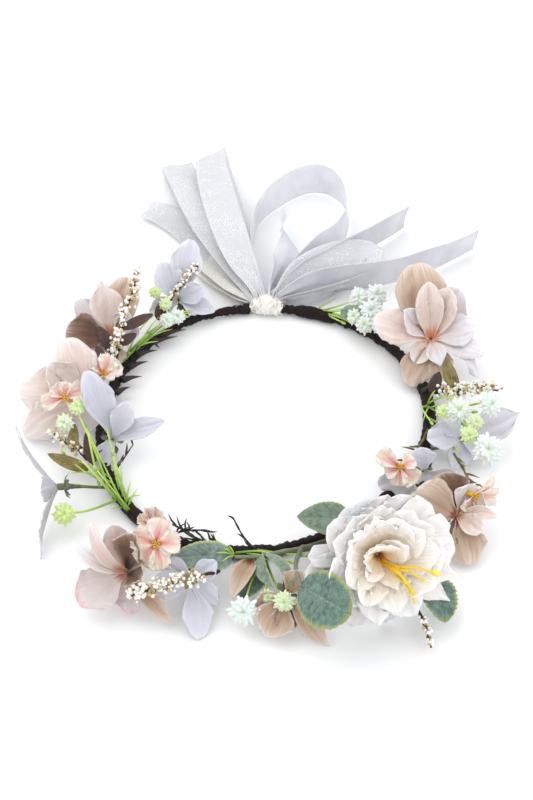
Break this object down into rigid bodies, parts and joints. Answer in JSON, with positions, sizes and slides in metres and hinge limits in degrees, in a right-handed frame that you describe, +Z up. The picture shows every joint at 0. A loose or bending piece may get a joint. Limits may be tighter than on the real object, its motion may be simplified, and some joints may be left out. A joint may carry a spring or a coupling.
{
  "type": "flower crown",
  "caption": "Head crown of silk magnolias, lilies, small blossoms and a peony wired to a taped hoop, with leaves, berry sprays, daisy picks and a ribbon bow whose tails hang loose.",
  "frame": {"origin": "centre of the hoop, on the plane that the crown lies on", "axes": "+Z up through the crown along the head's axis, +Y to the back where the bow is tied, +X to the peony and the magnolias"},
  "size_m": [0.2725, 0.3877, 0.0748],
  "materials": {
    "steel_wire": "drawn wire, satin",
    "hoop_paper_tape": "waxed crepe paper, matt",
    "stem_paper_tape": "waxed crepe paper, matt",
    "magnolia_silk": "woven polyester silk, soft sheen, tan outside and pinkish white inside",
    "lily_silk": "woven polyester silk, soft sheen",
    "blossom_silk": "woven polyester silk, matt",
    "peony_silk": "woven polyester silk, matt",
    "stamen_yellow": "dyed threads tipped with foam",
    "sage_cloth": "waxed cloth with pressed veins, matt",
    "berry_foam": "pearly foam",
    "daisy_plastic": "moulded polyethylene, matt",
    "satin_ribbon": "satin weave, soft sheen",
    "organza_ribbon": "sheer organza with glitter flecks"
  },
  "bodies": {
    "crown": {"berry_spray_1": "berry_foam", "berry_spray_2": "berry_foam", "berry_spray_3": "berry_foam", "blossom_1_petals": "blossom_silk", "blossom_2_petals": "blossom_silk", "blossom_3_petals": "blossom_silk", "blossom_4_petals": "blossom_silk", "blossom_5_petals": "blossom_silk", "bow_loop_left_inner": "organza_ribbon", "bow_loop_left_outer": "organza_ribbon", "bow_loop_right": "satin_ribbon", "daisy_pick_1": "daisy_plastic", "daisy_pick_3": "daisy_plastic", "hoop_tape": "hoop_paper_tape", "hoop_wire": "steel_wire", "lily_1_petals": "lily_silk", "lily_1_stem": "stem_paper_tape", "lily_2_petals": "lily_silk", "lily_2_stem": "stem_paper_tape", "lily_4_petals": "lily_silk", "lily_4_stem": "stem_paper_tape", "lily_5_petals": "lily_silk", "lily_5_stem": "stem_paper_tape", "lily_6_petals": "lily_silk", "lily_6_stem": "stem_paper_tape", "magnolia_1_inner_petals": "magnolia_silk", "magnolia_1_petals": "magnolia_silk", "magnolia_1_stem": "stem_paper_tape", "magnolia_2_petals": "magnolia_silk", "magnolia_2_stem": "stem_paper_tape", "magnolia_3_petals": "magnolia_silk", "magnolia_3_stem": "stem_paper_tape", "magnolia_4_petals": "magnolia_silk", "magnolia_4_stem": "stem_paper_tape", "magnolia_5_petals": "magnolia_silk", "magnolia_5_stem": "stem_paper_tape", "magnolia_6_petals": "magnolia_silk", "magnolia_6_stem": "stem_paper_tape", "peony_inner_petals": "peony_silk", "peony_middle_petals": "peony_silk", "peony_outer_petals": "peony_silk", "peony_stamens": "stamen_yellow", "peony_stem": "stem_paper_tape", "ribbon_knot": "satin_ribbon", "sage_leaf_1": "sage_cloth", "sage_leaf_3": "sage_cloth", "sage_leaf_4": "sage_cloth", "tape_collar_back": "hoop_paper_tape", "tape_collar_front": "hoop_paper_tape", "tape_collar_left": "hoop_paper_tape", "tape_collar_right": "hoop_paper_tape"},
    "tail_left": {"ribbon_tail_left": "organza_ribbon"},
    "tail_short": {"ribbon_tail_short": "satin_ribbon"},
    "tail_upper": {"ribbon_tail_upper": "satin_ribbon"},
    "tail_lower": {"ribbon_tail_lower": "satin_ribbon"},
    "lily_3": {"lily_3_petals": "lily_silk", "lily_3_stem": "stem_paper_tape"},
    "berry_spray_4": {"berry_spray_4": "berry_foam"},
    "daisy_pick_2": {"daisy_pick_2": "daisy_plastic"},
    "sage_leaf_2": {"sage_leaf_2": "sage_cloth"}
  },
  "joints": [
    {"name": "tail_left_lift", "type": "hinge", "parent": "crown", "child": "tail_left", "pos_m": [-0.009, 0.097, 0.0032], "axis": [0.8012, 0.5985, 0], "range_deg": [-80, 0]},
    {"name": "tail_short_lift", "type": "hinge", "parent": "crown", "child": "tail_short", "pos_m": [0.004, 0.101, 0.012], "axis": [0.9876, -0.1568, 0], "range_deg": [-80, 45]},
    {"name": "tail_upper_lift", "type": "hinge", "parent": "crown", "child": "tail_upper", "pos_m": [0.013, 0.099, 0.009], "axis": [0.6432, -0.7657, 0], "range_deg": [-80, 45]},
    {"name": "tail_lower_lift", "type": "hinge", "parent": "crown", "child": "tail_lower", "pos_m": [0.0142, 0.0949, 0.009], "axis": [0.3796, -0.9252, 0], "range_deg": [-80, 45]},
    {"name": "lily_3_bend", "type": "hinge", "parent": "crown", "child": "lily_3", "pos_m": [-0.08, -0.049, 0.006], "axis": [-0.3442, 0.9389, 0], "range_deg": [-10, 6]},
    {"name": "berry_spray_4_bend", "type": "hinge", "parent": "crown", "child": "berry_spray_4", "pos_m": [0.077, -0.136, 0.011], "axis": [-0.932, -0.3625, 0], "range_deg": [-12, 18]},
    {"name": "daisy_pick_2_bend", "type": "hinge", "parent": "crown", "child": "daisy_pick_2", "pos_m": [0.097, 0, 0.008], "axis": [-0.4229, -0.9062, 0], "range_deg": [-8, 15]},
    {"name": "sage_leaf_2_bend", "type": "hinge", "parent": "crown", "child": "sage_leaf_2", "pos_m": [0.046, -0.086, 0.013], "axis": [0.2941, 0.9558, 0], "range_deg": [-10, 18]}
  ]
}
